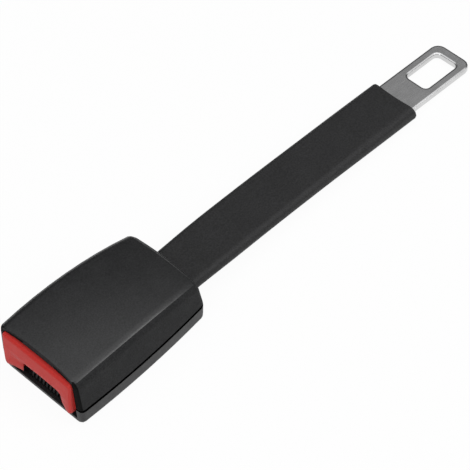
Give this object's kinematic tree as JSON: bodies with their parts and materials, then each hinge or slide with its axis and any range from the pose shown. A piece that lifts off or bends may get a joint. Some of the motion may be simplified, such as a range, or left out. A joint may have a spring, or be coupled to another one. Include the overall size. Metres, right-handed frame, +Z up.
{
  "type": "seat belt extender",
  "caption": "Seat belt extender: a push-button buckle in a moulded housing, joined by a sleeved webbing strap to a flat windowed metal tongue that plugs into a vehicle's buckle.",
  "frame": {"origin": "centre of the buckle housing's flat base, on the surface that the object lies on", "axes": "+X from the buckle's mouth towards the tongue's tip, +Y to the left, +Z up"},
  "size_m": [0.2643, 0.0506, 0.0296],
  "materials": {
    "black_cover_plastic": "fine matte grain",
    "black_tray_plastic": "fine matte grain",
    "red_button_plastic": "satin",
    "grey_inner_plastic": "plain moulded",
    "zinc_plated_steel": "zinc plated",
    "hardened_steel": "oiled dark",
    "spring_steel": "bright",
    "black_webbing": "woven",
    "black_thread": "twisted",
    "black_sheath": "smooth matte",
    "tongue_chrome": "polished edges, grey satin face"
  },
  "bodies": {
    "housing": {"upper_cover": "black_cover_plastic", "lower_cover": "black_tray_plastic", "buckle_frame": "zinc_plated_steel", "guide_plate": "zinc_plated_steel", "spring_carrier": "grey_inner_plastic", "latch_spring": "spring_steel", "ejector_spring": "spring_steel", "button_spring_left": "spring_steel", "button_spring_right": "spring_steel", "webbing_loop": "black_webbing", "webbing_stitching": "black_thread", "strap_sheath": "black_sheath", "tongue": "tongue_chrome"},
    "button": {"press_button": "red_button_plastic", "lock_bar": "hardened_steel"},
    "ejector": {"ejector": "grey_inner_plastic"},
    "latch": {"latch_plate": "hardened_steel"}
  },
  "joints": [
    {"name": "button_slide", "type": "slide", "parent": "housing", "child": "button", "axis": [1, 0, 0], "range_m": [0, 0.004], "stiffness_N_per_m": 400, "deforming": ["button_spring_left", "button_spring_right"]},
    {"name": "ejector_slide", "type": "slide", "parent": "housing", "child": "ejector", "axis": [1, 0, 0], "range_m": [0, 0.01], "stiffness_N_per_m": 300, "deforming": ["ejector_spring"]},
    {"name": "latch_pivot", "type": "hinge", "parent": "housing", "child": "latch", "pos_m": [0.012, 0, 0.0125], "axis": [0, 1, 0], "range_deg": [-18.05, 0]}
  ],
  "couplings": [
    {"joint": "latch_pivot", "follows": "ejector_slide", "rad_per_m": -31.5}
  ]
}
